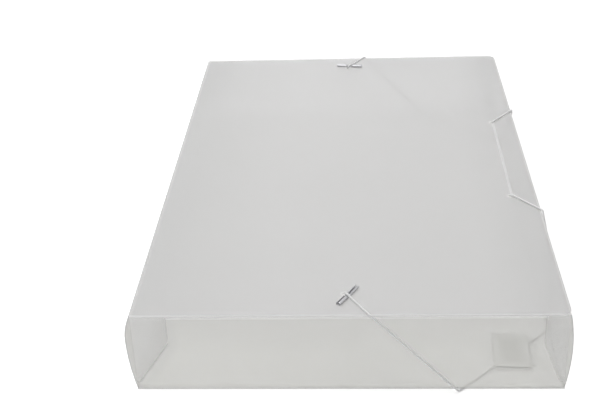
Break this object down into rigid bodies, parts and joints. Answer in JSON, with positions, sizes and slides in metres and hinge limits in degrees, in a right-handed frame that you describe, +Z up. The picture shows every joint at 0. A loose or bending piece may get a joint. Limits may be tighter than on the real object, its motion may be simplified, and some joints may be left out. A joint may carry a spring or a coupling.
{
  "type": "archive box",
  "caption": "Flat rectangular document case folded from frosted sheet plastic, with a spine-hinged lid held shut by elastic cord loops round its fore corners.",
  "frame": {"origin": "bottom centre of the closed box, cord included: the cords under the base touch z = 0 and the base's underside is at z = 1.3 mm", "axes": "+Z up, +X across the box from the spine to the fore edge, +Y along the box from its front end to its rear end"},
  "size_m": [0.2423, 0.3738, 0.0526],
  "materials": {
    "tray_sheet": "frosted translucent polypropylene with a fine sand grain",
    "lid_sheet": "frosted translucent polypropylene with a fine sand grain",
    "elastic_cord": "white braided elastic",
    "bar_steel": "plated, rolled strip",
    "label_paper": "blank coated sticker"
  },
  "bodies": {
    "tray": {"base_panel": "tray_sheet", "spine_wall": "tray_sheet", "fore_edge_wall": "tray_sheet", "front_end_wall": "tray_sheet", "rear_end_wall": "tray_sheet", "front_spine_tab": "tray_sheet", "front_fore_tab": "tray_sheet", "rear_spine_tab": "tray_sheet", "rear_fore_tab": "tray_sheet", "lid_crease": "lid_sheet", "base_label": "label_paper"},
    "lid": {"lid_panel": "lid_sheet", "lid_cord_run": "elastic_cord", "front_cord_knot": "elastic_cord", "rear_cord_knot": "elastic_cord"},
    "front_bar": {"front_t_bar": "bar_steel"},
    "rear_bar": {"rear_t_bar": "bar_steel"},
    "front_loop": {"front_cord_loop": "elastic_cord"},
    "rear_loop": {"rear_cord_loop": "elastic_cord"}
  },
  "joints": [
    {"name": "lid_hinge", "type": "hinge", "parent": "tray", "child": "lid", "pos_m": [-0.11715, 0, 0.0504], "axis": [0, -1, 0], "range_deg": [0, 180]},
    {"name": "front_bar_swivel", "type": "hinge", "parent": "lid", "child": "front_bar", "pos_m": [-0.00005, -0.167, 0.0517], "axis": [0, 0, 1], "range_deg": [-60, 6]},
    {"name": "rear_bar_swivel", "type": "hinge", "parent": "lid", "child": "rear_bar", "pos_m": [-0.00005, 0.167, 0.0517], "axis": [0, 0, 1], "range_deg": [-58, 8]},
    {"name": "front_loop_release", "type": "hinge", "parent": "lid", "child": "front_loop", "pos_m": [-0.00005, -0.167, 0.0515], "axis": [-0.6751, -0.7377, 0], "range_deg": [0, 180], "deforming": ["front_cord_loop"]},
    {"name": "rear_loop_release", "type": "hinge", "parent": "lid", "child": "rear_loop", "pos_m": [-0.00005, 0.167, 0.0515], "axis": [0.6751, -0.7377, 0], "range_deg": [0, 180], "deforming": ["rear_cord_loop"]}
  ],
  "couplings": [
    {"joint": "front_loop_release", "follows": "lid_hinge", "ratio": 1},
    {"joint": "rear_loop_release", "follows": "lid_hinge", "ratio": 1}
  ]
}
